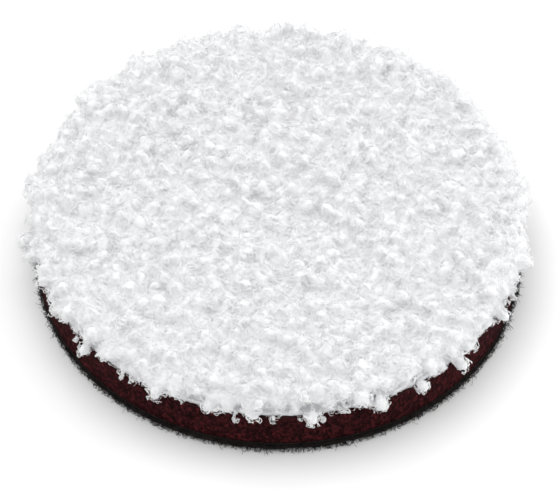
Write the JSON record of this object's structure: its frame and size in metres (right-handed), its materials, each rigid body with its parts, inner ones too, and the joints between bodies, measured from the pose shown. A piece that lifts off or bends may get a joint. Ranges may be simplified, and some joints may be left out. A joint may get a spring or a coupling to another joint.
{
  "type": "polishing pad",
  "caption": "Round machine polishing pad: curly white microfibre tufts on a maroon foam disc with a black brushed-loop backing.",
  "frame": {"origin": "centre of the loop face that sticks to the backing plate, which is the pad's underside as it lies", "axes": "+Z along the pad's axis, from the loop face towards the working face; the pad is round, so X and Y are any pair across it"},
  "size_m": [0.0846, 0.0846, 0.014],
  "materials": {
    "nylon_loop": "matte",
    "loop_cloth": "matte",
    "hot_melt_film": "satin",
    "maroon_foam": "matte",
    "ground_cloth": "matte",
    "microfibre": "matte"
  },
  "bodies": {
    "backing": {"loop_pile": "nylon_loop", "loop_cloth": "loop_cloth", "backing_bond": "hot_melt_film", "foam_core": "maroon_foam"},
    "face": {"face_bond": "hot_melt_film", "ground_cloth": "ground_cloth", "tuft_field": "microfibre", "tuft_rim": "microfibre"}
  },
  "joints": [
    {"name": "press", "type": "slide", "parent": "backing", "child": "face", "axis": [0, 0, -1], "range_m": [0, 0.003], "stiffness_N_per_m": 20000, "deforming": ["foam_core"]}
  ]
}
